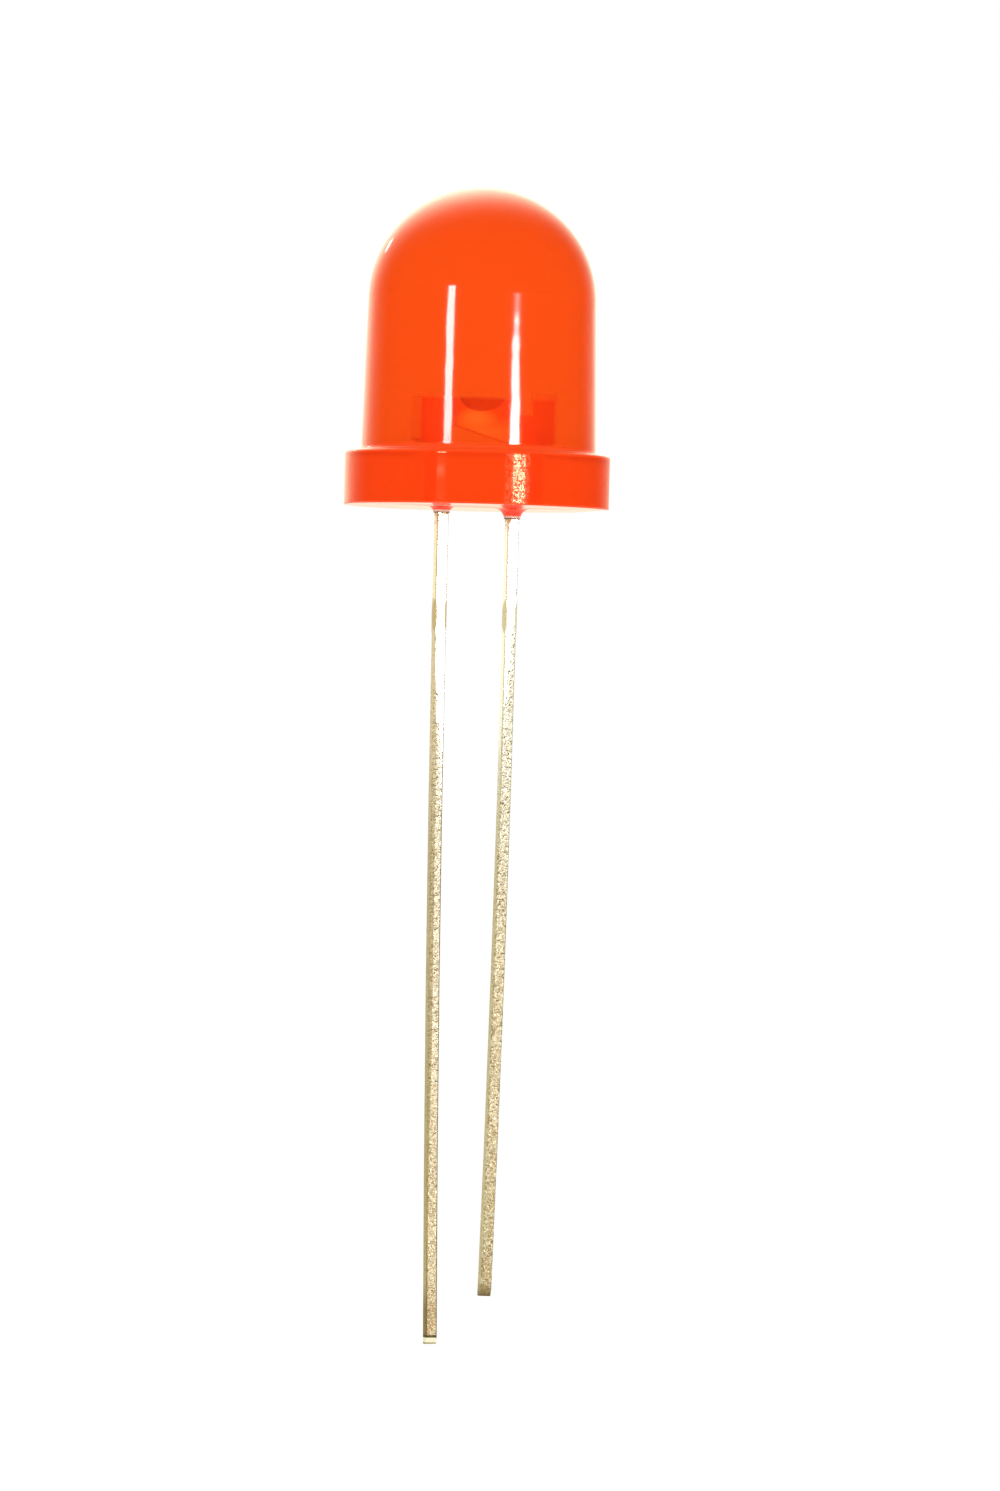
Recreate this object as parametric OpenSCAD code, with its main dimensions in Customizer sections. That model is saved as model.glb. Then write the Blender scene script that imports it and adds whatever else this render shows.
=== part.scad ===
// Round 8 mm through hole LED with a tinted lens, upright on its own axis as it stands on a board:
// the seating plane is z = 0, +Z runs to the dome, -Y is the front, the anode lead is at -X and
// the cathode lead at +X, with the flat of the flange beside it.

/* [Lens] */
// Height from the seating plane to the top of the dome
lens_h = 11; // [9:0.1:14]
// Radius of the dome
dome_r = 3.92; // [3.6:0.02:4.1]
// Mould draft of the lens side, degrees from the axis
lens_draft = 1.3; // [0.5:0.1:2]

/* [Flange] */
// Thickness of the flange
flange_t = 1.85; // [1:0.05:2.2]
// How far the flange stands out from the foot of the lens side
flange_step = 0.56; // [0.3:0.02:1]
// Radius on the upper edge of the flange
flange_edge = 0.12; // [0.05:0.01:0.2]
// How far the cathode flat lies outside the foot of the lens side
flat_step = 0.02; // [0.01:0.01:0.2]

/* [Resin at the lead exits] */
// Height that the resin climbs down the anode lead
anode_meniscus_h = 0.22; // [0.1:0.02:0.5]
// Height that the resin climbs down the cathode lead
cathode_meniscus_h = 0.36; // [0.1:0.02:0.6]
// Thickness of the resin at the end of that climb, outside the corners of the lead
meniscus_lip = 0.03; // [0.01:0.01:0.06]

/* [Leads] */
// Distance between the lead centres at the seating plane
lead_pitch = 2.54; // [2.3:0.02:2.8]
// Width of a lead, across the front
lead_w = 0.4; // [0.35:0.01:0.5]
// Thickness of the lead frame sheet
sheet_t = 0.4; // [0.35:0.01:0.5]
// How far the coined corners of a lead are cut back
lead_round = 0.03; // [0.01:0.005:0.05]
// Length of the anode lead below the seating plane
anode_len = 28.75; // [15:0.05:32]
// Length of the cathode lead below the seating plane
cathode_len = 27.1; // [14:0.05:30]
// Inward bow of the anode lead over its length, degrees
anode_bow_angle = 1.35; // [0.5:0.05:3]
// Inward bow of the cathode lead over its length, degrees
cathode_bow_angle = 1.24; // [0.5:0.02:3]

/* [Dam bar stubs] */
// Distance from the seating plane to the sheared stubs
dam_from = 3.15; // [2:0.05:5]
// Height of the sheared stubs
dam_h = 1.15; // [0.6:0.05:1.6]
// How far the stubs stand out from each side of a lead
dam_nub = 0.015; // [0.01:0.005:0.1]

/* [Sheared tips] */
// Height of the bevel at the anode tip
anode_bevel_h = 0.22; // [0.1:0.01:0.4]
// Height of the bevel at the cathode tip
cathode_bevel_h = 0.4; // [0.1:0.01:0.6]
// How deep the bevels run into the thickness of the lead
bevel_depth = 0.13; // [0.05:0.01:0.25]

/* [Anode post] */
// Height of the post above the seating plane
post_top = 3.76; // [3.3:0.02:4.2]
// Height at which the post widens from the lead
post_from = 2.1; // [1.2:0.05:2.6]
// How far the post stands out past the outer side of the lead
post_out = 0.16; // [0:0.02:0.3]
// How far the post reaches in past the inner side of the lead
post_in = 0.19; // [0.05:0.01:0.22]

/* [Cathode anvil] */
// Height of the cup rim above the seating plane
cup_top = 3.7; // [3.3:0.02:4.1]
// Height of the outer wing above the cup rim
wing_rise = 0.2; // [0:0.02:0.4]
// How far the wing stands out past the outer side of the lead
wing_out = 0.26; // [0.04:0.02:0.4]
// Width of the wing
wing_w = 0.55; // [0.3:0.05:0.6]
// Width of the shoulder between the cup and the notch
shoulder_w = 0.2; // [0.05:0.01:0.25]
// Depth of the notch beside the wing, below the cup rim
notch_d = 0.55; // [0.3:0.05:0.8]
// Depth of the anvil plate below the cup rim, at its inner edge
anvil_d = 0.95; // [0.85:0.05:1.2]
// Height at which the anvil widens from the lead
anvil_from = 2; // [1.2:0.05:2.3]

/* [Reflector cup] */
// Outer radius of the cup at its rim
cup_out_r = 0.6; // [0.55:0.01:0.65]
// Depth of the bowl that the struck cup pushes out of the sheet
bowl_d = 0.5; // [0.45:0.01:0.58]
// Width of the cup rim
cup_rim = 0.12; // [0.05:0.01:0.15]
// Depth of the cup
cup_d = 0.33; // [0.25:0.01:0.38]
// Radius of the cup floor
cup_floor_r = 0.27; // [0.25:0.01:0.3]

/* [Chip and wire] */
// Side of the square chip
die_w = 0.3; // [0.2:0.01:0.32]
// Height of the chip
die_h = 0.16; // [0.1:0.01:0.2]
// Thickness of the silver epoxy under the chip
attach_t = 0.02; // [0.01:0.005:0.04]
// How far the silver epoxy shows past the corners of the chip
attach_margin = 0.01; // [0.005:0.005:0.02]
// Radius of the bond wire
wire_r = 0.0125; // [0.01:0.0025:0.02]
// Height of the wire loop above the line between its ends
wire_loop = 0.34; // [0.2:0.02:0.5]
// Radius of the ball and of the stitch that bond the wire
bond_r = 0.045; // [0.04:0.005:0.07]
// Height of the ball and of the stitch
bond_h = 0.04; // [0.03:0.005:0.05]

/* [Hidden] */

// Facets of the previewed curves
round_fn = 96;
small_fn = 40;
wire_fn = 16;
// Facets of a full turn, of which a bowed lead takes a degree or two
bow_fn = 4800;
// Room by which a cutting shape reaches past what it cuts
past = 1;

// Lens: the dome ends where the drafted side is tangent to it
dome_z = lens_h - dome_r;
side_top_z = dome_z + dome_r * sin(lens_draft);
side_top_r = dome_r * cos(lens_draft);
side_foot_r = side_top_r + (side_top_z - flange_t) * tan(lens_draft);

// Flange
flange_r = side_foot_r + flange_step;
flat_x = side_foot_r + flat_step;

// Leads
lead_x = lead_pitch / 2;
lead_corner_r = norm([lead_w, sheet_t]) / 2 - lead_round;
lead_inner_x = lead_x - lead_w / 2;
lead_outer_x = lead_x + lead_w / 2;

// Anode post, as distances from the axis
post_outer_x = lead_outer_x + post_out;
post_inner_x = lead_inner_x - post_in;
post_mid_x = (post_outer_x + post_inner_x) / 2;

// Cathode anvil
wing_top = cup_top + wing_rise;
wing_outer_x = lead_outer_x + wing_out;
wing_inner_x = wing_outer_x - wing_w;
shoulder_x = cup_out_r + shoulder_w;
notch_z = cup_top - notch_d;

// Reflector cup: the bowl is a cap of a sphere
bowl_r = (cup_out_r * cup_out_r + bowl_d * bowl_d) / (2 * bowl_d);
cup_in_r = cup_out_r - cup_rim;
cup_floor_z = cup_top - cup_d;
die_z = cup_floor_z + attach_t;
attach_r = die_w / sqrt(2) + attach_margin;

// Bond wire: an arc from the ball on the chip to the stitch on the post
wire_start = [0, die_z + die_h + bond_h / 2];
wire_end = [-post_mid_x, post_top + bond_h / 2];
wire_chord = norm(wire_end - wire_start);
wire_arc_r = (wire_chord * wire_chord / 4 + wire_loop * wire_loop) / (2 * wire_loop);
wire_half = wire_loop <= wire_arc_r
    ? asin(wire_chord / 2 / wire_arc_r)
    : 180 - asin(wire_chord / 2 / wire_arc_r);
wire_lean = atan2(wire_end[1] - wire_start[1], wire_start[0] - wire_end[0]);
wire_drop = wire_arc_r - wire_loop;
wire_centre = (wire_start + wire_end) / 2 - wire_drop * [sin(wire_lean), cos(wire_lean)];

// Half of the lens section: dome, drafted side and flange with its rounded upper edge
module lens_profile() {
    intersection() {
        translate([0, dome_z])
            circle(dome_r, $fn = round_fn);
        translate([0, side_top_z])
            square([dome_r, dome_r]);
    }
    polygon([
        [0, 0], [side_foot_r, 0], [side_foot_r, flange_t],
        [side_top_r, side_top_z], [0, side_top_z],
    ]);
    square([flange_r, flange_t - flange_edge]);
    square([flange_r - flange_edge, flange_t]);
    translate([flange_r - flange_edge, flange_t - flange_edge])
        circle(flange_edge, $fn = small_fn);
}

// Resin drawn down a lead in a hollow curve, with its foot on the seating plane
module meniscus(h) {
    lip_r = lead_corner_r + meniscus_lip;
    rotate_extrude($fn = small_fn)
        difference() {
            translate([0, -h])
                square([lip_r + h, h]);
            translate([lip_r + h, -h])
                circle(h, $fn = small_fn);
        }
}

// The cast lens before the metal is taken out of it, with the flat on the cathode side
module lens_blank() {
    difference() {
        rotate_extrude($fn = round_fn)
            lens_profile();
        translate([flat_x, -flange_r - past, -past])
            cube([flange_r, 2 * (flange_r + past), flange_t + 2 * past]);
    }
    translate([-lead_x, 0, 0])
        meniscus(anode_meniscus_h);
    translate([lead_x, 0, 0])
        meniscus(cathode_meniscus_h);
}

// Section of a lead with coined corners
module lead_section(extra_w = 0) {
    intersection() {
        square([lead_w + 2 * extra_w, sheet_t], center = true);
        circle(lead_corner_r + extra_w, $fn = small_fn);
    }
}

// Radius of curvature of a lead that turns by bow degrees in len
function bow_r(len, bow) = len / (bow * PI / 180);

// Part of a bowed lead from from_len to to_len below the seating plane, curving to -X
module bowed(len, bow, from_len, to_len, extra_w = 0) {
    r = bow_r(len, bow);
    translate([-r, 0, 0])
        rotate([-90, 0, 0])
            rotate([0, 0, bow * from_len / len])
                rotate_extrude(angle = bow * (to_len - from_len) / len, $fn = bow_fn)
                    translate([r, 0])
                        lead_section(extra_w);
}

// Puts its children at the tip of a bowed lead, with +Z up the lead
module at_tip(len, bow) {
    r = bow_r(len, bow);
    translate([-r, 0, 0])
        rotate([0, bow, 0])
            translate([r, 0, 0])
                children();
}

// Wedge that the cropping tool takes off the front of a tip
module tip_bevel(h) {
    run = past / h * bevel_depth;
    rotate([90, 0, 90])
        linear_extrude(lead_w + 2 * past, center = true)
            polygon([
                [-sheet_t / 2 - run, h + past], [-sheet_t / 2 - run, -past],
                [-sheet_t / 2 + bevel_depth + run, -past],
            ]);
}

// Lead outside and inside the lens, curving to -X, and run up by its own width into the head that begins at head_z
module lead(len, bow, head_z, bevel_h) {
    linear_extrude(head_z + lead_w)
        lead_section();
    difference() {
        union() {
            bowed(len, bow, 0, len);
            bowed(len, bow, dam_from, dam_from + dam_h, dam_nub);
        }
        at_tip(len, bow)
            tip_bevel(bevel_h);
    }
}

// Stamps an outline given as [x, z] points out of the lead frame sheet
module stamped(points) {
    rotate([90, 0, 0])
        linear_extrude(sheet_t, center = true)
            polygon(points);
}

module anode_metal() {
    translate([-lead_x, 0, 0])
        mirror([1, 0, 0])
            lead(anode_len, anode_bow_angle, post_from, anode_bevel_h);
    stamped([
        [-lead_inner_x, post_from],
        [-post_inner_x, post_from + post_in],
        [-post_inner_x, post_top],
        [-post_outer_x, post_top],
        [-post_outer_x, post_from + post_out],
        [-lead_outer_x, post_from],
    ]);
}

// Solid bowl that the punch pushes out on both faces of the sheet
module cup_bowl() {
    intersection() {
        translate([0, 0, cup_top - bowl_d + bowl_r])
            sphere(bowl_r, $fn = small_fn);
        translate([-past, -past, cup_top - bowl_d - past])
            cube([2 * past, 2 * past, bowl_d + past]);
    }
}

module cathode_metal() {
    translate([lead_x, 0, 0])
        lead(cathode_len, cathode_bow_angle, anvil_from, cathode_bevel_h);
    difference() {
        union() {
            stamped([
                [lead_outer_x, anvil_from],
                [wing_outer_x, anvil_from + wing_out],
                [wing_outer_x, wing_top],
                [wing_inner_x, wing_top],
                [wing_inner_x, notch_z],
                [shoulder_x, notch_z],
                [shoulder_x, cup_top],
                [-cup_out_r, cup_top],
                [-cup_out_r, cup_top - anvil_d],
                [lead_inner_x, anvil_from],
            ]);
            cup_bowl();
        }
        translate([0, 0, cup_floor_z])
            cylinder(2 * cup_d, cup_floor_r, 2 * cup_in_r - cup_floor_r, $fn = small_fn);
    }
}

module die_solid() {
    translate([-die_w / 2, -die_w / 2, die_z])
        cube([die_w, die_w, die_h]);
}

module attach_solid() {
    translate([0, 0, cup_floor_z])
        cylinder(attach_t, attach_r, attach_r, $fn = small_fn);
}

module wire_solid() {
    translate([wire_centre[0], 0, wire_centre[1]])
        rotate([90, 0, 0])
            rotate([0, 0, 90 - wire_half - wire_lean])
                rotate_extrude(angle = 2 * wire_half, $fn = round_fn)
                    translate([wire_arc_r, 0])
                        circle(wire_r, $fn = wire_fn);
    for (bond = [wire_start, wire_end])
        translate([bond[0], 0, bond[1] - bond_h / 2])
            cylinder(bond_h, bond_r, bond_r, $fn = small_fn);
}

module epoxy_lens() {
    color([1, 0.33, 0.08, 0.8])
        difference() {
            lens_blank();
            anode_metal();
            cathode_metal();
            die_solid();
            attach_solid();
            wire_solid();
        }
}

module anode_lead() {
    color([0.85, 0.8, 0.7])
        anode_metal();
}

module cathode_lead() {
    color([0.82, 0.77, 0.67])
        cathode_metal();
}

module led_die() {
    color([0.35, 0.3, 0.3])
        die_solid();
}

module die_attach() {
    color([0.75, 0.75, 0.76])
        attach_solid();
}

module bond_wire() {
    color([0.9, 0.72, 0.3])
        wire_solid();
}

epoxy_lens();
anode_lead();
cathode_lead();
led_die();
die_attach();
bond_wire();
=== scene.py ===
"""A round 8 mm through hole LED, dressed for its portrait: tinted epoxy casting, tinned steel leads, and the
chip, silver epoxy and gold wire inside. Everything is in metres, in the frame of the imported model: the seating
plane is z = 0, +Z runs to the dome, -Y is the front, and the cathode is at +X."""
from math import asin, atan2, cos, pi, radians, sin, sqrt, tan
import bpy
from mathutils import Matrix, Vector


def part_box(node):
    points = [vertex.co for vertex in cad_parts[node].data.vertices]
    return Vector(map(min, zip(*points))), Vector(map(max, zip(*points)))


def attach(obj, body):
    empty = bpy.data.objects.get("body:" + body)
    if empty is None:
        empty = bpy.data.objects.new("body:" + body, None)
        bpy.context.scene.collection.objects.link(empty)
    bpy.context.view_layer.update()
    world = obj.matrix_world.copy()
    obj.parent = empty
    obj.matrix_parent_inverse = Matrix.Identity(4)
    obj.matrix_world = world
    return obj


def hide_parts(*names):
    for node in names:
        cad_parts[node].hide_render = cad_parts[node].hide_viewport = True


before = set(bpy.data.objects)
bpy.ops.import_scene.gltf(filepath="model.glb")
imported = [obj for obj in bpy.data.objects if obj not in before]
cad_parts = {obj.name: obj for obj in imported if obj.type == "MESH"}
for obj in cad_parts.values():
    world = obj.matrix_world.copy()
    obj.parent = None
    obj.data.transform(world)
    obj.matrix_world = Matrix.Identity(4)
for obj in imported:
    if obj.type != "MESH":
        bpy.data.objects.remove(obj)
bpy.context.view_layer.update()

MM = 0.001

# Casting, as the part's source gives it
LENS_H = 11 * MM
DOME_R = 3.92 * MM
DRAFT = radians(1.3)
FLANGE_T = 1.85 * MM
FLANGE_STEP = 0.56 * MM
FLANGE_EDGE = 0.12 * MM
FLAT_STEP = 0.02 * MM
DOME_Z = LENS_H - DOME_R
SIDE_TOP_Z = DOME_Z + DOME_R * sin(DRAFT)
SIDE_TOP_R = DOME_R * cos(DRAFT)
SIDE_FOOT_R = SIDE_TOP_R + (SIDE_TOP_Z - FLANGE_T) * tan(DRAFT)
FLANGE_R = SIDE_FOOT_R + FLANGE_STEP
FLAT_X = SIDE_FOOT_R + FLAT_STEP
FOOT_FILLET = 0.2 * MM
UNDERSIDE_EDGE = 0.04 * MM
# A ring this far from each curve keeps the shading of the straight wall beside it straight
HOLD = 0.03 * MM
# Across the underside, and how far inside it the root of the resin on a lead starts. Both keep the points of the two
# shapes off each other's faces and edges, so that they join in the same way every time.
UNDERSIDE_CUT_Y = 0.01 * MM
ROOT_LIFT = 0.004 * MM

# Leads
LEAD_X = 1.27 * MM
LEAD_W = 0.4 * MM
LEAD_CORNER_R = LEAD_W / sqrt(2) - 0.03 * MM
MENISCUS_LIP = 0.03 * MM
ANODE_MENISCUS = 0.22 * MM
CATHODE_MENISCUS = 0.36 * MM
TIP_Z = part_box("anode_lead")[0][2]
CATHODE_TIP_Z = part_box("cathode_lead")[0][2]
DAM_Z = -3.725 * MM
DAM_H = 1.15 * MM
# Where the painted highlight on the bulge of the cup is centred, along X and up
CUP_HIGHLIGHT = (-0.12 * MM, 3.0 * MM)
# Outer edges of the post and of the anvil's wing, and their top
POST_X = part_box("anode_lead")[0][0]
WING_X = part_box("cathode_lead")[1][0]
POST_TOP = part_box("anode_lead")[1][2]


def mesh_only():
    """Leaves nothing selected, in object mode."""
    if bpy.context.object and bpy.context.object.mode != "OBJECT":
        bpy.ops.object.mode_set(mode="OBJECT")
    bpy.ops.object.select_all(action="DESELECT")


def linear(hex_colour, alpha=1.0):
    """An sRGB hex colour as the linear colour that a socket takes."""
    parts = [int(hex_colour[i:i + 2], 16) / 255 for i in (1, 3, 5)]
    return [c / 12.92 if c <= 0.04045 else ((c + 0.055) / 1.055) ** 2.4 for c in parts] + [alpha]


def node(tree, kind, inputs=None, **settings):
    """Adds a node with its settings. An input is a value, or the socket that feeds it."""
    made = tree.nodes.new("ShaderNode" + kind)
    for name, value in settings.items():
        setattr(made, name, value)
    for key, value in (inputs or {}).items():
        if isinstance(value, bpy.types.NodeSocket):
            tree.links.new(value, made.inputs[key])
        else:
            made.inputs[key].default_value = value
    return made


# The casting


def ring_to(radius, z, last):
    """Extrudes the selected open edge to a new radius and height, and returns both."""
    bpy.ops.mesh.extrude_edges_move(TRANSFORM_OT_translate={"value": (0, 0, z - last[1])})
    k = radius / last[0]
    bpy.ops.transform.resize(value=(k, k, 1), center_override=(last[2], 0, z))
    return radius, z, last[2]


def meniscus(name, x, height):
    """Resin drawn down a lead in a hollow curve, with its root inside the casting."""
    mesh_only()
    lip = LEAD_CORNER_R + MENISCUS_LIP
    root = lip + height
    bpy.ops.mesh.primitive_circle_add(vertices=64, radius=root, location=(x, 0, 0.4 * MM))
    piece = bpy.context.object
    piece.name = name
    bpy.ops.object.transform_apply()
    bpy.ops.object.mode_set(mode="EDIT")
    bpy.ops.mesh.select_all(action="SELECT")
    bpy.ops.mesh.edge_face_add()
    bpy.ops.mesh.select_all(action="SELECT")
    bpy.ops.mesh.select_mode(type="EDGE")
    last = ring_to(root, ROOT_LIFT, (root, 0.4 * MM, x))
    steps = 10
    for i in range(1, steps + 1):
        turn = pi / 2 * i / steps
        depth = height * (1 - cos(turn))
        last = ring_to(root - height * sin(turn), -depth, last)
    bpy.ops.mesh.edge_face_add()
    bpy.ops.mesh.select_all(action="SELECT")
    bpy.ops.mesh.normals_make_consistent(inside=False)
    mesh_only()
    return piece


def casting():
    """The lens: half a ball, the drafted side pulled down from it, and the flange stepped out of its foot."""
    mesh_only()
    bpy.ops.mesh.primitive_uv_sphere_add(segments=192, ring_count=96, radius=DOME_R, location=(0, 0, DOME_Z))
    lens = bpy.context.object
    lens.name = "tinted_casting"
    bpy.ops.object.transform_apply()
    bpy.ops.object.mode_set(mode="EDIT")
    bpy.ops.mesh.select_all(action="SELECT")
    bpy.ops.mesh.select_mode(type="EDGE")
    bpy.ops.mesh.bisect(plane_co=(0, 0, SIDE_TOP_Z), plane_no=(0, 0, 1), clear_inner=True, threshold=1e-7)
    last = (SIDE_TOP_R, SIDE_TOP_Z, 0)
    last = ring_to(SIDE_TOP_R + HOLD * tan(DRAFT), SIDE_TOP_Z - HOLD, last)
    # The fillet at the foot of the side, from the draft round to level
    foot = (SIDE_FOOT_R + FOOT_FILLET, FLANGE_T + FOOT_FILLET)
    last = ring_to(foot[0] - FOOT_FILLET * cos(DRAFT), foot[1] - FOOT_FILLET * sin(DRAFT) + HOLD, last)
    for i in range(9):
        turn = DRAFT + (pi / 2 - DRAFT) * i / 8
        last = ring_to(foot[0] - FOOT_FILLET * cos(turn), foot[1] - FOOT_FILLET * sin(turn), last)
    last = ring_to(foot[0] + HOLD, FLANGE_T, last)
    # The rounded upper edge of the flange, and the small one below it
    last = ring_to(FLANGE_R - FLANGE_EDGE - HOLD, FLANGE_T, last)
    for i in range(9):
        turn = pi / 2 * i / 8
        last = ring_to(
            FLANGE_R - FLANGE_EDGE * (1 - sin(turn)), FLANGE_T - FLANGE_EDGE * (1 - cos(turn)), last
        )
    last = ring_to(FLANGE_R, FLANGE_T - FLANGE_EDGE - HOLD, last)
    last = ring_to(FLANGE_R, UNDERSIDE_EDGE + HOLD, last)
    for i in range(5):
        turn = pi / 2 * i / 4
        last = ring_to(
            FLANGE_R - UNDERSIDE_EDGE * (1 - cos(turn)), UNDERSIDE_EDGE * (1 - sin(turn)), last
        )
    last = ring_to(FLANGE_R - UNDERSIDE_EDGE - HOLD, 0, last)
    bpy.ops.mesh.edge_face_add()
    # The underside is cut across, so that neither half has a hole in it once the resin joins it
    bpy.ops.mesh.bisect(plane_co=(0, UNDERSIDE_CUT_Y, 0), plane_no=(0, 1, 0), threshold=1e-7)
    # The flat on the cathode side
    bpy.ops.mesh.select_all(action="SELECT")
    bpy.ops.mesh.bisect(
        plane_co=(FLAT_X, 0, 0), plane_no=(1, 0, 0), clear_outer=True, use_fill=True, threshold=1e-7
    )
    bpy.ops.mesh.select_all(action="SELECT")
    bpy.ops.mesh.normals_make_consistent(inside=False)
    mesh_only()
    for name, x, height in (("anode_resin", -LEAD_X, ANODE_MENISCUS), ("cathode_resin", LEAD_X, CATHODE_MENISCUS)):
        cone = meniscus(name, x, height)
        mesh_only()
        lens.select_set(True)
        bpy.context.view_layer.objects.active = lens
        union = lens.modifiers.new("resin_at_exit", "BOOLEAN")
        union.operation, union.solver, union.object = "UNION", "EXACT", cone
        bpy.ops.object.modifier_apply(modifier=union.name)
        bpy.data.objects.remove(cone)
    edge = lens.modifiers.new("moulded_edges", "BEVEL")
    edge.width, edge.segments, edge.limit_method, edge.angle_limit = 0.03 * MM, 3, "ANGLE", radians(50)
    bpy.ops.object.modifier_apply(modifier=edge.name)
    bpy.ops.object.shade_smooth_by_angle(angle=radians(32))
    return lens


# Materials


def new_material(name):
    made = bpy.data.materials.new(name)
    made.use_nodes = True
    made.node_tree.nodes.clear()
    return made, made.node_tree


def resin():
    """Tinted epoxy, cast in a polished mould: a deep orange-red that glows where white shows through it, a hard
    gloss on the dome and side, and a dull, scratched rim where the flange left the mould frame."""
    made, t = new_material("tinted_epoxy_cast")
    coords = node(t, "TexCoord").outputs
    where = node(t, "SeparateXYZ", {"Vector": coords["Object"]}).outputs
    facing = node(t, "SeparateXYZ", {"Vector": coords["Normal"]}).outputs["Z"]
    in_flange = node(
        t, "MapRange", {"Value": where["Z"], "From Min": FLANGE_T + 0.15 * MM, "From Max": FLANGE_T - 0.05 * MM}
    ).outputs["Result"]
    level = node(t, "Math", {0: facing}, operation="ABSOLUTE").outputs[0]
    upright = node(t, "MapRange", {"Value": level, "From Min": 0.5, "From Max": 0.15}).outputs["Result"]
    rim = node(t, "Math", {0: in_flange, 1: upright}, operation="MULTIPLY").outputs[0]
    tint = node(
        t, "Mix", {0: in_flange, 6: linear("#FF5613"), 7: linear("#FF4912")}, data_type="RGBA"
    ).outputs[2]
    # The front of the rim is scuffed in specks about 0.07 mm across, and mirrors a warmer light
    scratch = node(
        t, "TexNoise", {"Vector": coords["Object"], "Scale": 1 / (0.07 * MM), "Detail": 2, "Roughness": 0.6}
    ).outputs["Fac"]
    worn = node(
        t, "MapRange", {"Value": scratch, "From Min": 0.47, "From Max": 0.57, "To Min": 0.06, "To Max": 0.4}
    ).outputs["Result"]
    sideways = node(t, "Math", {0: where["X"]}, operation="ABSOLUTE").outputs[0]
    scuffed = node(t, "MapRange", {"Value": sideways, "From Min": 0.5 * MM, "From Max": 0.35 * MM}).outputs["Result"]
    at_front = node(t, "Math", {0: where["Y"], 1: 0.0}, operation="LESS_THAN").outputs[0]
    scuffed = node(t, "Math", {0: scuffed, 1: at_front}, operation="MULTIPLY").outputs[0]
    worn = node(t, "Mix", {0: scuffed, 2: 0.06, 3: worn}).outputs[0]
    rough = node(t, "Mix", {0: rim, 2: 0.08, 3: worn}).outputs[0]
    gloss_tint = node(
        t, "Mix", {0: rim, 6: linear("#FFFFFF"), 7: linear("#FFE2B4")}, data_type="RGBA"
    ).outputs[2]
    # The tip of the resin on each lead is painted near white as a highlight, and its lip is a thin brown line of
    # painted shade
    anode = node(t, "Math", {0: where["X"], 1: 0.0}, operation="LESS_THAN").outputs[0]
    lip = node(t, "Mix", {0: anode, 2: -CATHODE_MENISCUS, 3: -ANODE_MENISCUS}).outputs[0]
    climb = node(t, "Math", {0: where["Z"], 1: lip}, operation="SUBTRACT").outputs[0]
    clear = node(t, "MapRange", {"Value": climb, "From Min": 0.13 * MM, "From Max": 0.09 * MM}).outputs["Result"]
    lip_shade = node(t, "MapRange", {"Value": climb, "From Min": 0.05 * MM, "From Max": 0.02 * MM}).outputs["Result"]
    tint = node(t, "Mix", {0: clear, 6: tint, 7: linear("#FFF2E0")}, data_type="RGBA").outputs[2]
    tint = node(t, "Mix", {0: lip_shade, 6: tint, 7: linear("#7A5A34")}, data_type="RGBA").outputs[2]
    # A faint waviness of the mould's polish, about a millimetre across
    wave = node(t, "TexNoise", {"Vector": coords["Object"], "Scale": 1 / (1.2 * MM), "Detail": 1}).outputs["Fac"]
    smooth = node(t, "Bump", {"Height": wave, "Strength": 0.05, "Distance": 0.2 * MM}).outputs["Normal"]
    # The flange is milkier than the rest, and the fold where the side meets it is milkiest and palest
    through = node(t, "Mix", {0: in_flange, 2: 0.74, 3: 0.5}).outputs[0]
    above = node(t, "Math", {0: where["Z"], 1: FLANGE_T + 0.07 * MM}, operation="SUBTRACT").outputs[0]
    above = node(t, "Math", {0: above}, operation="ABSOLUTE").outputs[0]
    fold = node(t, "MapRange", {"Value": above, "From Min": 0.2 * MM, "From Max": 0.08 * MM}).outputs["Result"]
    through = node(t, "Mix", {0: fold, 2: through, 3: 0.2}).outputs[0]
    tint = node(t, "Mix", {0: fold, 6: tint, 7: linear("#FF5420")}, data_type="RGBA").outputs[2]
    # The resin drawn down the leads is redder, and as milky, down to its tip with the painted highlight
    drawn = node(t, "MapRange", {"Value": where["Z"], "From Min": 0.02 * MM, "From Max": -0.02 * MM})
    drawn = node(t, "Math", {0: drawn.outputs["Result"], 1: clear}, operation="SUBTRACT").outputs[0]
    through = node(t, "Mix", {0: drawn, 2: through, 3: 0.2}).outputs[0]
    tint = node(t, "Mix", {0: drawn, 6: tint, 7: linear("#FF3C1E")}, data_type="RGBA").outputs[2]
    shader = node(t, "BsdfPrincipled", {
        "Base Color": tint, "Roughness": rough, "IOR": 1.53, "Transmission Weight": through, "Normal": smooth,
        "Specular Tint": gloss_tint,
    })
    node(t, "OutputMaterial", {"Surface": shader.outputs[0]})
    return made


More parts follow.
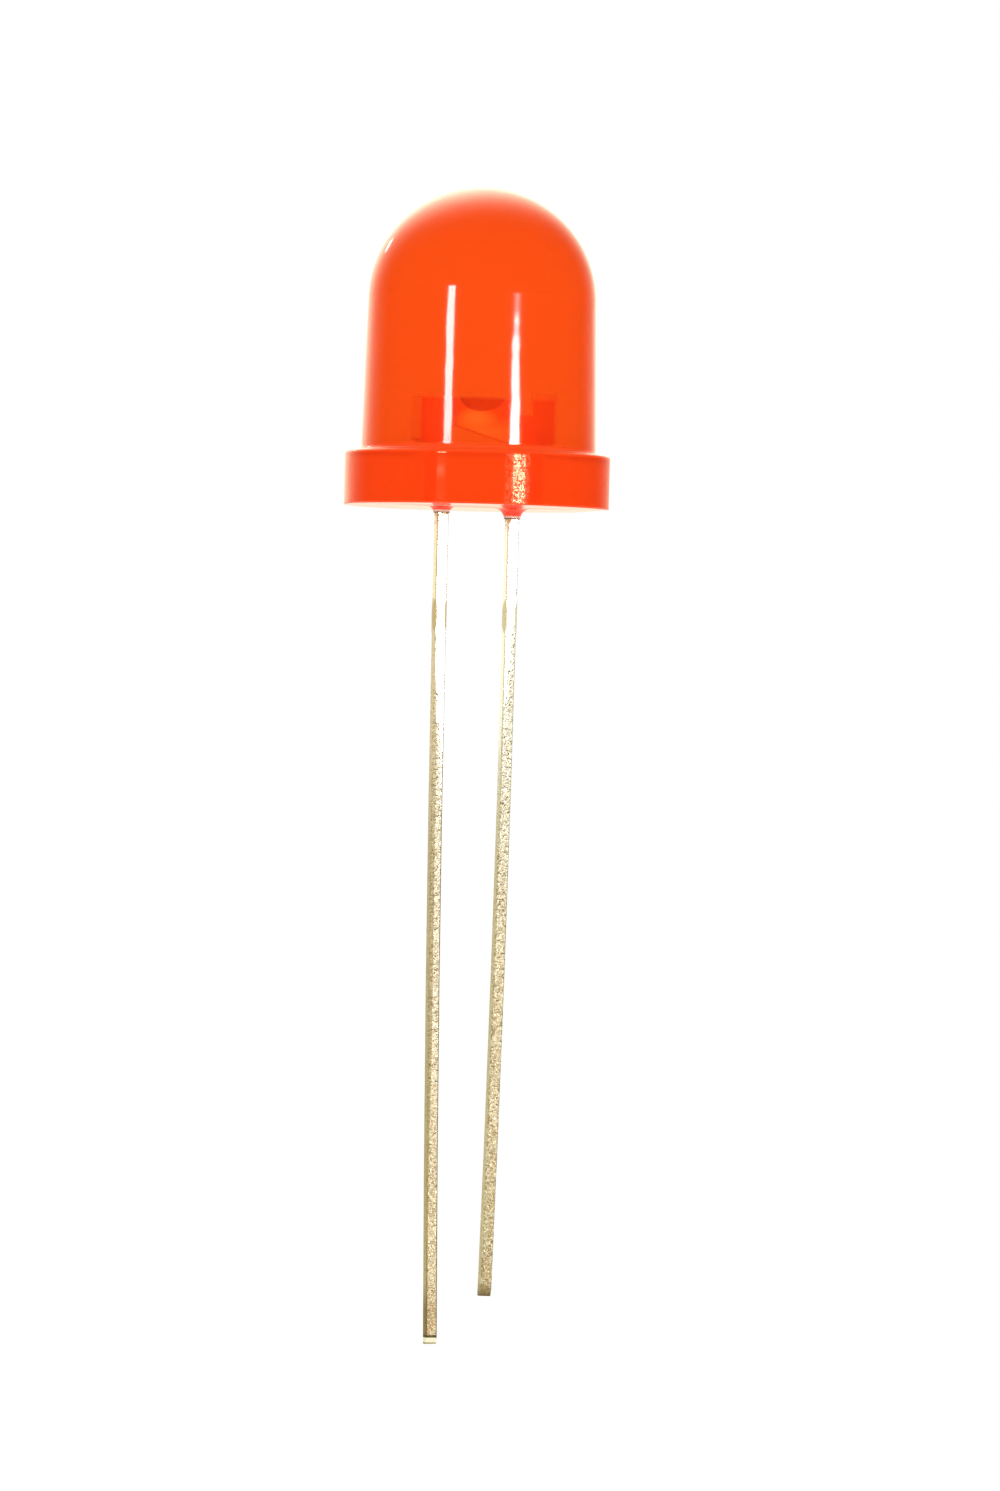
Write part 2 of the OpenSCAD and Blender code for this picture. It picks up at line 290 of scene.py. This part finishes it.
def tinned_steel():
    """Iron lead frame, plated with tin that has dulled to a warm champagne: satin, with a fine crystal of painted
    bright glints, tan on the sides, mostly as painted shade and partly where the sheet was sheared, and brown where the
    dam bars were cut away. Inside the casting the plating is silver, painted red on its fronts as shade, with a painted
    highlight on the cup."""
    made, t = new_material("tin_plated_lead_frame")
    coords = node(t, "TexCoord").outputs
    spot = node(t, "SeparateXYZ", {"Vector": coords["Object"]}).outputs
    facing = node(t, "SeparateXYZ", {"Vector": coords["Normal"]}).outputs

    def ramp(value, start, end, low=0.0, high=1.0):
        """A share that goes from low at start to high at end."""
        return node(
            t, "MapRange", {"Value": value, "From Min": start, "From Max": end, "To Min": low, "To Max": high}
        ).outputs["Result"]

    def sums(kind, a, b):
        return node(t, "Math", {0: a, 1: b}, operation=kind).outputs[0]

    def blend(share, first, second):
        return node(t, "Mix", {0: share, 6: first, 7: second}, data_type="RGBA").outputs[2]

    def blend_values(share, first, second):
        return node(t, "Mix", {0: share, 2: first, 3: second}).outputs[0]

    # The colours are lighter at the lens and darker down to the tips, as a painted highlight that fades where the
    # fronts stop mirroring the right strip lamp. The sides are darker still, mostly as painted shade and partly where
    # the sheet was sheared.
    down = ramp(spot["Z"], -3 * MM, TIP_Z)
    anode = sums("LESS_THAN", spot["X"], 0)
    # How far a point lies from the middle of its lead, outwards, after the bow of the lead
    bow = sums("MULTIPLY", sums("POWER", spot["Z"], 2), 1 / (2 * 1236 * MM))
    across_lead = sums("ADD", sums("SUBTRACT", sums("ABSOLUTE", spot["X"], 0), LEAD_X), bow)
    # A band along the anode's outer front edge, wider lower down, takes the tan of its side as painted shade
    lap = sums("ADD", sums("SUBTRACT", across_lead, LEAD_W * 0.5), ramp(spot["Z"], -3.6 * MM, -8 * MM, 0, 0.16 * MM))
    lap = sums("SUBTRACT", lap, ramp(spot["Z"], -18 * MM, -26 * MM, 0, 0.12 * MM))
    shaded_edge_band = sums("MULTIPLY", anode, ramp(lap, 0, 0.03 * MM))
    sidelong = sums("ABSOLUTE", facing["X"], 0)
    side = sums("MAXIMUM", ramp(sidelong, 0.5, 0.65), shaded_edge_band)
    corner = sums("SUBTRACT", ramp(sidelong, 0.4, 0.55), ramp(sidelong, 0.85, 0.95))
    # Front colours: a painted highlight near the lens, fading to tan. Side colours: darker, mostly painted shade.
    anode_front = blend(down, linear("#FFFAEA"), linear("#FAE6C8"))
    anode_front = blend(ramp(spot["Z"], -18 * MM, -22 * MM), anode_front, linear("#E6D4B6"))
    cathode_front = blend(ramp(spot["Z"], -8 * MM, -17 * MM), linear("#FFFAEA"), linear("#E7D6B8"))
    cathode_front = blend(ramp(spot["Z"], -20 * MM, -25 * MM), cathode_front, linear("#C9B896"))
    anode_side = blend(ramp(spot["Z"], -5 * MM, -11 * MM), linear("#EADDC0"), linear("#C4B68C"))
    anode_side = blend(down, anode_side, linear("#AEA072"))
    cathode_side = blend(ramp(spot["Z"], -7 * MM, -13 * MM), linear("#F4F2E8"), linear("#D4C8A2"))
    front = blend(anode, cathode_front, anode_front)
    shade = blend(side, front, blend(anode, cathode_side, anode_side))
    # The edge band's painted shade, darker lower down
    edge_band_shade = blend(ramp(spot["Z"], -8 * MM, -12 * MM), linear("#F8ECD0"), linear("#DED0AE"))
    edge_band_shade = blend(ramp(spot["Z"], -16 * MM, -24 * MM), edge_band_shade, linear("#CFC296"))
    shade = blend(shaded_edge_band, shade, edge_band_shade)
    # The last stretch of the anode is a browner tan
    tanned = sums("MULTIPLY", anode, ramp(spot["Z"], TIP_Z + 2 * MM, TIP_Z + 1.2 * MM))
    shade = blend(tanned, shade, blend(side, linear("#C8B08C"), linear("#9C8A5C")))
    # Grains of the dulled plating, about 0.1 mm across, that start below the bright stretch at the lens. Its ragged
    # end lies lower on the anode, and higher on the outward half of either lead.
    cloud = node(t, "TexNoise", {"Vector": coords["Object"], "Scale": 1 / (0.7 * MM), "Detail": 3, "Roughness": 0.7})
    ragged = sums("ADD", spot["Z"], sums("MULTIPLY", ramp(cloud.outputs["Fac"], 0.3, 0.7, -1, 1), 1.2 * MM))
    ragged = sums("SUBTRACT", ragged, sums("MULTIPLY", across_lead, 12))
    bright_end = blend_values(anode, -5.7 * MM, -7.4 * MM)
    dulled = ramp(sums("SUBTRACT", ragged, bright_end), 0.8 * MM, -1.6 * MM)
    grit = node(t, "TexNoise", {"Vector": coords["Object"], "Scale": 1 / (0.11 * MM), "Detail": 3, "Roughness": 0.75})
    patchy = ramp(cloud.outputs["Fac"], 0.35, 0.65, 0.55, 1.3)
    fading = ramp(spot["Z"], -16 * MM, -24 * MM, 0.65, 0.45)
    contrast = sums("MULTIPLY", patchy, blend_values(anode, 0.6, fading))
    contrast = sums("MULTIPLY", contrast, blend_values(sidelong, 1, 0.5))
    speckle = sums("MULTIPLY", sums("MULTIPLY", dulled, contrast), ramp(grit.outputs["Fac"], 0.54, 0.43))
    shade = blend(speckle, shade, linear("#9E8258"))
    # Crystals about 0.07 mm across, of which one in five is painted as a bright glint on the front, and half along the
    # cathode's corners
    crystal = node(t, "TexVoronoi", {"Vector": coords["Object"], "Scale": 1 / (0.07 * MM)}).outputs
    spark = node(t, "SeparateColor", {"Color": crystal["Color"]}).outputs["Red"]
    glitter = sums("MULTIPLY", ramp(spark, 0.74, 0.84, 0, 0.5), sums("SUBTRACT", 1, side))
    lined = sums("MULTIPLY", ramp(spark, 0.45, 0.6, 0, 0.8), sums("MULTIPLY", corner, sums("SUBTRACT", 1, anode)))
    glitter = sums("MULTIPLY", dulled, sums("MAXIMUM", glitter, lined))
    shade = blend(glitter, shade, linear("#FFFBE6"))
    # Sheared stubs of the dam bar: an oval of browned iron on each front corner of a lead
    reach = (
        sums("DIVIDE", sums("SUBTRACT", spot["Z"], DAM_Z), DAM_H * 0.5),
        sums("DIVIDE", sums("SUBTRACT", sums("ABSOLUTE", across_lead, 0), LEAD_W * 0.5), 0.08 * MM),
        sums("DIVIDE", sums("ADD", spot["Y"], LEAD_W * 0.5), 0.42 * MM),
    )
    oval = sums("ADD", sums("POWER", reach[0], 2), sums("ADD", sums("POWER", reach[1], 2), sums("POWER", reach[2], 2)))
    stub = ramp(oval, 1.2, 0.7)
    shade = blend(stub, shade, blend(anode, linear("#F1EED0"), linear("#E5D4AA")))
    # A mottled tan that fades down from the end of the resin
    resin_end = blend_values(anode, -CATHODE_MENISCUS, -ANODE_MENISCUS)
    tan_below_resin = ramp(sums("SUBTRACT", resin_end, spot["Z"]), 0.5 * MM, 0.05 * MM)
    tan_below_resin = sums("MULTIPLY", tan_below_resin, ramp(grit.outputs["Fac"], 0.45, 0.55))
    shade = blend(tan_below_resin, shade, linear("#D8B488"))
    # The anode was cropped with a burr, whose shadow is painted as a dark line above its bare bevel, and the cathode's
    # tip is darkened as a painted reflection of the floor's shadow
    burr_z = TIP_Z + 0.27 * MM
    burr_shadow = sums("MULTIPLY", anode, ramp(sums("ABSOLUTE", sums("SUBTRACT", spot["Z"], burr_z), 0), 0.06 * MM, 0.03 * MM))
    mirrored_floor_shadow = sums("MULTIPLY", sums("SUBTRACT", 1, anode), ramp(spot["Z"], CATHODE_TIP_Z + 0.5 * MM, CATHODE_TIP_Z))
    bare = sums("MULTIPLY", anode, ramp(spot["Z"], burr_z - 0.02 * MM, burr_z - 0.05 * MM))
    shade = blend(bare, shade, linear("#FFFDF2"))
    shade = blend(ramp(spot["Z"], TIP_Z + 0.07 * MM, TIP_Z + 0.04 * MM), shade, linear("#B0A878"))
    shade = blend(sums("MAXIMUM", burr_shadow, mirrored_floor_shadow), shade, linear("#6E5C3A"))
    # Inside the casting the fronts are painted red as shade, soft at the top and outer edges, where it is hazy. The
    # painted red shade fades down the bulge of the cup, which keeps a soft painted highlight.
    inside = ramp(sums("SUBTRACT", spot["Z"], resin_end), 0, 0.1 * MM)
    off_highlight = sums(
        "ADD",
        sums("POWER", sums("DIVIDE", sums("SUBTRACT", spot["X"], CUP_HIGHLIGHT[0]), 0.45 * MM), 2),
        sums("POWER", sums("DIVIDE", sums("SUBTRACT", spot["Z"], CUP_HIGHLIGHT[1]), 0.34 * MM), 2),
    )
    bulge = sums("LESS_THAN", sums("ABSOLUTE", spot["X"], 0), 0.95 * MM)
    bulge = sums("MULTIPLY", bulge, sums("GREATER_THAN", spot["Z"], MM))
    level = ramp(sums("ABSOLUTE", facing["Y"], 0), 0.8, 0.95)
    painted_red_shade = blend_values(bulge, level, ramp(spot["Z"], 2.6 * MM, 3.1 * MM))
    outer_x = blend_values(anode, WING_X, -POST_X)
    haze = sums(
        "MULTIPLY",
        ramp(spot["Z"], POST_TOP, POST_TOP - 0.14 * MM),
        ramp(sums("SUBTRACT", outer_x, sums("ABSOLUTE", spot["X"], 0)), 0, 0.1 * MM),
    )
    painted_red_shade = sums("MULTIPLY", sums("MULTIPLY", painted_red_shade, haze), sums("GREATER_THAN", spot["Z"], 0.1 * MM))
    encased = blend(painted_red_shade, linear("#FFE4DC"), linear("#FF8474"))
    shade = blend(inside, shade, blend(ramp(off_highlight, 1.4, 0.1), encased, linear("#FFF4EC")))

    # Relief of the crystals, and the cross hatch that the rolled sheet's plating shows on its faces
    rolled = node(t, "Mapping", {"Vector": coords["Object"], "Rotation": (0, radians(25), 0), "Scale": (0.3, 1, 1)})
    hatch = node(
        t, "TexNoise", {"Vector": rolled.outputs["Vector"], "Scale": 1 / (0.08 * MM), "Detail": 2}
    ).outputs["Fac"]
    relief = sums("ADD", sums("MULTIPLY", crystal["Distance"], 0.8), hatch)
    relief = sums("MULTIPLY", sums("MULTIPLY", relief, ramp(dulled, 0, 1, 0.08, 1)), sums("SUBTRACT", 1, inside))
    grain = node(t, "Bump", {"Height": relief, "Strength": 0.7, "Distance": 0.03 * MM}).outputs["Normal"]
    rough = sums("ADD", ramp(dulled, 0, 1, 0.2, 0.38), ramp(spark, 0, 1, -0.1, 0.12))
    dull = sums("MAXIMUM", sums("MAXIMUM", stub, tan_below_resin), sums("MAXIMUM", shaded_edge_band, corner))
    rough = blend_values(dull, rough, 0.62)
    rough = blend_values(inside, rough, blend_values(level, 0.28, 0.4))
    shader = node(
        t, "BsdfPrincipled", {"Base Color": shade, "Metallic": 1.0, "Roughness": rough, "Normal": grain}
    )
    node(t, "OutputMaterial", {"Surface": shader.outputs[0]})
    return made


def plain_start(name, colour, metallic, roughness, grain_mm, darker):
    """A fine-grained small part: one colour that drifts a little over grains of a known size."""
    made, t = new_material(name)
    where = node(t, "TexCoord").outputs["Object"]
    grain = node(t, "TexNoise", {"Vector": where, "Scale": 1 / (grain_mm * MM), "Detail": 2}).outputs["Fac"]
    shade = node(t, "Mix", {0: grain, 6: linear(colour), 7: linear(darker)}, data_type="RGBA").outputs[2]
    bumped = node(t, "Bump", {"Height": grain, "Strength": 0.2, "Distance": grain_mm * MM / 8}).outputs["Normal"]
    shader = node(
        t, "BsdfPrincipled",
        {"Base Color": shade, "Metallic": metallic, "Roughness": roughness, "Normal": bumped},
    )
    node(t, "OutputMaterial", {"Surface": shader.outputs[0]})
    return made


def dress(obj, material):
    obj.data.materials.clear()
    obj.data.materials.append(material)


lens = casting()
dress(lens, resin())
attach(lens, "root")
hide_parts("epoxy_lens")

tin = tinned_steel()
for name in ("anode_lead", "cathode_lead"):
    dress(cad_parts[name], tin)
# Gallium arsenide phosphide chip: dark grey with a purplish cast, sawn sides
dress(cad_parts["led_die"], plain_start("sawn_chip", "#6E6468", 0.3, 0.3, 0.03, "#4A4246"))
# Silver epoxy: dull grey paste full of flakes
dress(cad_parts["die_attach"], plain_start("silver_filled_epoxy", "#BDBDC0", 0.9, 0.45, 0.02, "#8E8E92"))
# Gold wire: bright drawn gold
dress(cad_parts["bond_wire"], plain_start("drawn_gold", "#F0C45A", 1.0, 0.18, 0.05, "#D9A63C"))

# Camera: level with the middle of the leads and square to the lens axis, 17.2 degrees round to the anode side,
# and rolled a little, as the photograph's is
TURN, ROLL = radians(17.2), radians(1.46)
DISTANCE = 275 * MM
FOCAL_PX, TALL_PX, PX_PER_MM = 8000, 1491, 29.1
axis, front, side = Vector((0, 0, 1)), Vector((0, -1, 0)), Vector((1, 0, 0))
to_camera = front * cos(TURN) - side * sin(TURN)
across = side * cos(TURN) + front * sin(TURN)
up = axis * cos(ROLL) - across * sin(ROLL)
right = axis * sin(ROLL) + across * cos(ROLL)
target = right * (23 / PX_PER_MM * MM) - up * (237.9 / PX_PER_MM * MM)
camera = bpy.data.objects.new("portrait_camera", bpy.data.cameras.new("portrait_camera"))
bpy.context.scene.collection.objects.link(camera)
camera.data.lens = camera.data.sensor_width * FOCAL_PX / TALL_PX
camera.data.clip_start, camera.data.clip_end = 10 * MM, 20
camera.matrix_world = Matrix.Translation(target + to_camera * DISTANCE) @ Matrix(
    (right, up, to_camera)
).transposed().to_4x4()
bpy.context.scene.camera = camera


def softbox(name, bearing, centre_z, width, height, radiance, shape="ELLIPSE"):
    """A soft lamp, upright and facing the axis of the lens. Bearing is counted from the camera, to the right."""
    data = bpy.data.lights.new(name, "AREA")
    data.shape, data.size, data.size_y = shape, width, height
    data.energy = radiance * pi * width * height * (pi / 4 if shape == "ELLIPSE" else 1)
    lamp = bpy.data.objects.new(name, data)
    bpy.context.scene.collection.objects.link(lamp)
    away = to_camera * cos(bearing) + across * sin(bearing)
    lamp.matrix_world = Matrix.Translation(axis * centre_z + away * LAMP_DISTANCE) @ away.to_track_quat(
        "Z", "Y"
    ).to_matrix().to_4x4()


# Two strip lamps stand either side of the camera. The right one is also where the fronts of the leads mirror. A small
# one stands behind, off to the left, and glints on the shoulder of the dome.
LAMP_DISTANCE = 300 * MM
softbox("strip_left", radians(-30.8), 44.5 * MM, 38 * MM, 57 * MM, 20, "RECTANGLE")
softbox("strip_right", radians(35.4), 12.1 * MM, 56 * MM, 45.6 * MM, 27)
softbox("shoulder_glint", radians(-147.5), 113 * MM, 40 * MM, 28 * MM, 4)

# Studio: even light all round, with a soft bright patch above and behind the dome. What mirrors the room sees warm
# white behind the diode and dimness where the camera stands. What the camera sees directly or through the resin is
# white.
studio = bpy.data.worlds.new("studio")
studio.use_nodes = True
bpy.context.scene.world = studio
t = studio.node_tree
t.nodes.clear()
direction = node(t, "TexCoord").outputs["Generated"]


def lobe(middle, power, strength):
    """Light that is strongest from the middle direction and falls away softly all round it."""
    near = node(t, "VectorMath", {0: direction, 1: middle}, operation="DOT_PRODUCT").outputs["Value"]
    near = node(t, "Math", {0: near, 1: 0.0}, operation="MAXIMUM").outputs[0]
    near = node(t, "Math", {0: near, 1: power}, operation="POWER").outputs[0]
    return node(t, "Math", {0: near, 1: strength}, operation="MULTIPLY").outputs[0]


behind = -to_camera * cos(radians(6)) - across * sin(radians(6))
backdrop = node(t, "Math", {0: lobe(behind, 3.9, 1.97), 1: 1.4}, operation="MINIMUM").outputs[0]
backdrop = node(t, "Math", {0: backdrop, 1: 0.06}, operation="MAXIMUM").outputs[0]
aloft = -to_camera * cos(radians(10)) - across * sin(radians(10))
overhead = lobe(axis * sin(radians(46)) + aloft * cos(radians(46)), 8.8, 2.5)
path = node(t, "LightPath").outputs
around = node(t, "Mix", {0: path["Is Glossy Ray"], 2: 0.95, 3: backdrop}).outputs[0]
lit = node(t, "Math", {0: around, 1: overhead}, operation="ADD").outputs[0]
seen = node(t, "Math", {0: path["Is Camera Ray"], 1: path["Is Transmission Ray"]}, operation="MAXIMUM").outputs[0]
strength = node(t, "Mix", {0: seen, 2: lit, 3: 1.0}).outputs[0]
cast = node(
    t, "Mix", {0: path["Is Glossy Ray"], 6: linear("#FFFFFF"), 7: linear("#FFFBDF")}, data_type="RGBA"
).outputs[2]
node(t, "OutputWorld", {"Surface": node(t, "Background", {"Color": cast, "Strength": strength}).outputs[0]})

# Floor: plain white paper under the tip of the long lead. Seen, mirrored or through the resin it is mostly plain
# white, and the rest of it still takes the diode's shadow.
mesh_only()
bpy.ops.mesh.primitive_circle_add(vertices=96, radius=3, fill_type="NGON", location=(0, 0, TIP_Z))
floor = bpy.context.object
floor.name = "floor"
paper, t = new_material("white_paper")
path = node(t, "LightPath").outputs
seen = node(t, "Math", {0: path["Is Camera Ray"], 1: path["Is Glossy Ray"]}, operation="MAXIMUM").outputs[0]
seen = node(t, "Math", {0: seen, 1: path["Is Transmission Ray"]}, operation="MAXIMUM").outputs[0]
share = node(t, "Math", {0: seen, 1: 0.92}, operation="MULTIPLY").outputs[0]
fibre = node(t, "TexNoise", {"Vector": node(t, "TexCoord").outputs["Object"], "Scale": 1 / (0.3 * MM), "Detail": 3})
sheet = node(t, "BsdfPrincipled", {
    "Base Color": linear("#F6F5F3"), "Roughness": 0.9,
    "Normal": node(t, "Bump", {"Height": fibre.outputs["Fac"], "Strength": 0.1, "Distance": 0.02 * MM}).outputs[0],
})
cast = node(
    t, "Mix", {0: path["Is Glossy Ray"], 6: linear("#FFFFFF"), 7: linear("#FFFBDF")}, data_type="RGBA"
).outputs[2]
white = node(t, "Emission", {"Color": cast, "Strength": 1.0})
both = node(t, "MixShader", {0: share, 1: sheet.outputs[0], 2: white.outputs[0]})
node(t, "OutputMaterial", {"Surface": both.outputs[0]})
dress(floor, paper)

bpy.context.scene.view_settings.view_transform = "Standard"
